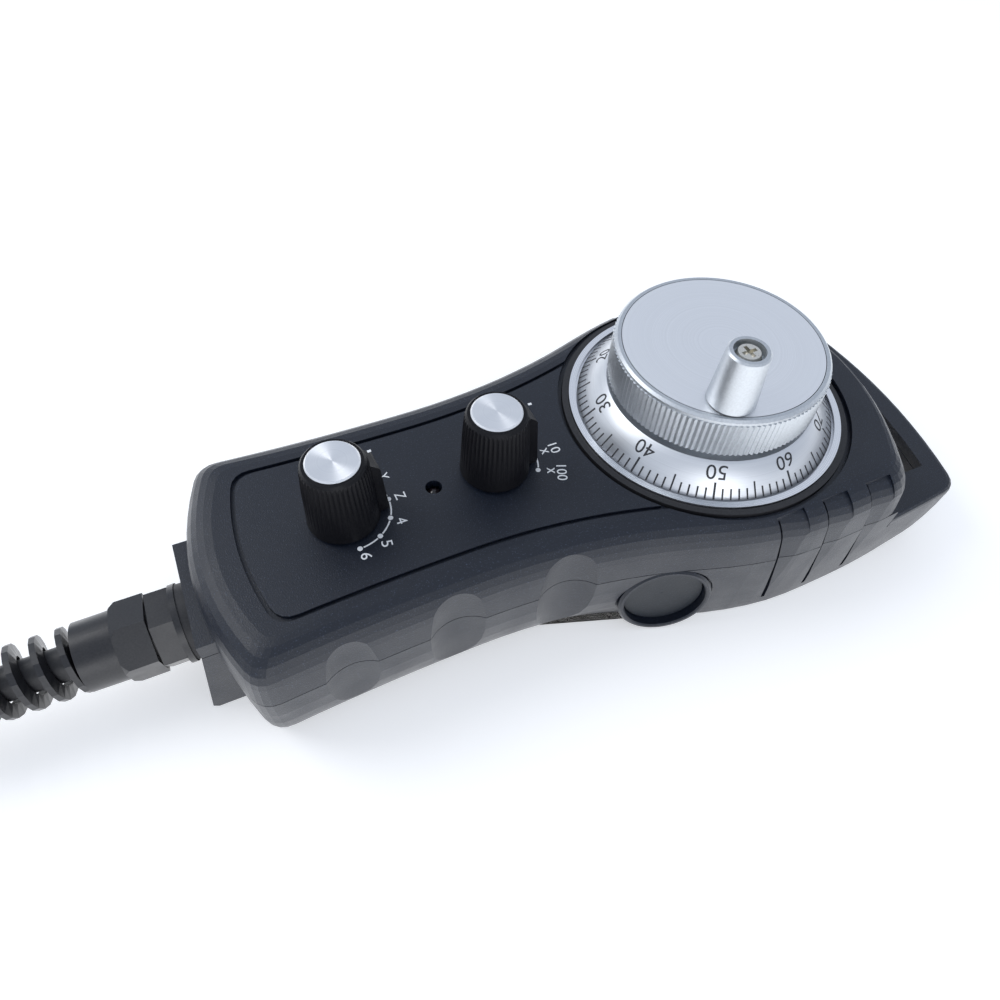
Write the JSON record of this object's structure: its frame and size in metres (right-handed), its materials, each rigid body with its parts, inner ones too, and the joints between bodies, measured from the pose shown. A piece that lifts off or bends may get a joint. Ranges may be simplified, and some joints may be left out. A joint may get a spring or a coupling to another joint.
{
  "type": "pulse generator handwheel",
  "caption": "Hand-held manual pulse generator for machine tools: knurled dial wheel with crank, two rotary selectors, side enable buttons, hanging slot and a coiled cable.",
  "frame": {"origin": "on the flat back of the housing, under the axis of the handwheel", "axes": "+X towards the hanger end, -X towards the cable end, +Z out of the control panel along the handwheel axis, +Y to the left when the panel is seen with the hanger end up"},
  "size_m": [0.4283, 0.0853, 0.0622],
  "materials": {
    "shell_front": "fine textured",
    "shell_rear": "fine textured",
    "black_plastic": "moulded",
    "knob_plastic": "satin",
    "black_rubber": "smooth",
    "brushed_aluminium": "brushed",
    "wheel_aluminium": "knurled and turned",
    "steel": "turned",
    "zinc_steel": "zinc plated",
    "pcb": "solder mask",
    "terminal_plastic": "moulded",
    "lamp_red": "clear epoxy",
    "gold_contacts": "plated",
    "cable_jacket": "extruded"
  },
  "bodies": {
    "housing": {"front_shell": "shell_front", "rear_shell": "shell_rear", "housing_screws": "zinc_steel", "bezel_gasket": "black_rubber", "bezel_ring": "brushed_aluminium", "encoder_body": "black_plastic", "encoder_cover": "black_plastic", "encoder_bearings": "steel", "encoder_board": "pcb", "encoder_terminals": "terminal_plastic", "encoder_screws": "zinc_steel", "axis_switch_body": "black_plastic", "axis_switch_nut": "zinc_steel", "multiplier_switch_body": "black_plastic", "multiplier_switch_nut": "zinc_steel", "lamp": "lamp_red", "lamp_holder": "black_plastic", "enable_ring_right": "shell_rear", "enable_spring_right": "steel", "enable_switch_right": "black_plastic", "enable_ring_left": "shell_rear", "enable_spring_left": "steel", "enable_switch_left": "black_plastic", "gland_washer": "black_rubber", "gland_body": "black_plastic", "gland_seal": "black_rubber", "gland_nut": "black_plastic", "gland_locknut": "black_plastic", "cable_inlet": "cable_jacket", "cable": "cable_jacket", "cable_coil": "cable_jacket", "cable_tail": "cable_jacket", "cable_tie": "black_plastic", "plug_hood": "black_plastic", "plug_shell": "zinc_steel", "plug_pins": "gold_contacts", "plug_screws": "zinc_steel"},
    "wheel": {"handwheel": "wheel_aluminium", "wheel_top_plate": "brushed_aluminium", "graduated_dial": "brushed_aluminium", "crank_screw": "zinc_steel", "encoder_shaft": "steel", "encoder_disc": "steel"},
    "crank": {"crank_handle": "wheel_aluminium"},
    "axis_selector": {"axis_knob": "knob_plastic", "axis_knob_cap": "brushed_aluminium", "axis_switch_shaft": "steel"},
    "multiplier_selector": {"multiplier_knob": "knob_plastic", "multiplier_knob_cap": "brushed_aluminium", "multiplier_switch_shaft": "steel"},
    "enable_right": {"enable_button_right": "shell_front"},
    "enable_left": {"enable_button_left": "shell_front"}
  },
  "joints": [
    {"name": "wheel_spin", "type": "hinge", "parent": "housing", "child": "wheel", "pos_m": [0, 0, 0.04], "axis": [0, 0, 1], "continuous": true},
    {"name": "crank_spin", "type": "hinge", "parent": "wheel", "child": "crank", "pos_m": [-0.008, -0.01432, 0.056], "axis": [0, 0, 1], "continuous": true},
    {"name": "axis_turn", "type": "hinge", "parent": "housing", "child": "axis_selector", "pos_m": [-0.0827, 0, 0.04], "axis": [0, 0, 1], "range_deg": [-90, 90]},
    {"name": "multiplier_turn", "type": "hinge", "parent": "housing", "child": "multiplier_selector", "pos_m": [-0.0509, 0, 0.04], "axis": [0, 0, 1], "range_deg": [-30, 30]},
    {"name": "enable_press_right", "type": "slide", "parent": "housing", "child": "enable_right", "axis": [0.3008, 0.9481, -0.1028], "range_m": [0, 0.002], "stiffness_N_per_m": 600, "springref_m": -0.003, "deforming": ["enable_spring_right"]},
    {"name": "enable_press_left", "type": "slide", "parent": "housing", "child": "enable_left", "axis": [0.3008, -0.9481, -0.1028], "range_m": [0, 0.002], "stiffness_N_per_m": 600, "springref_m": -0.003, "deforming": ["enable_spring_left"]}
  ]
}
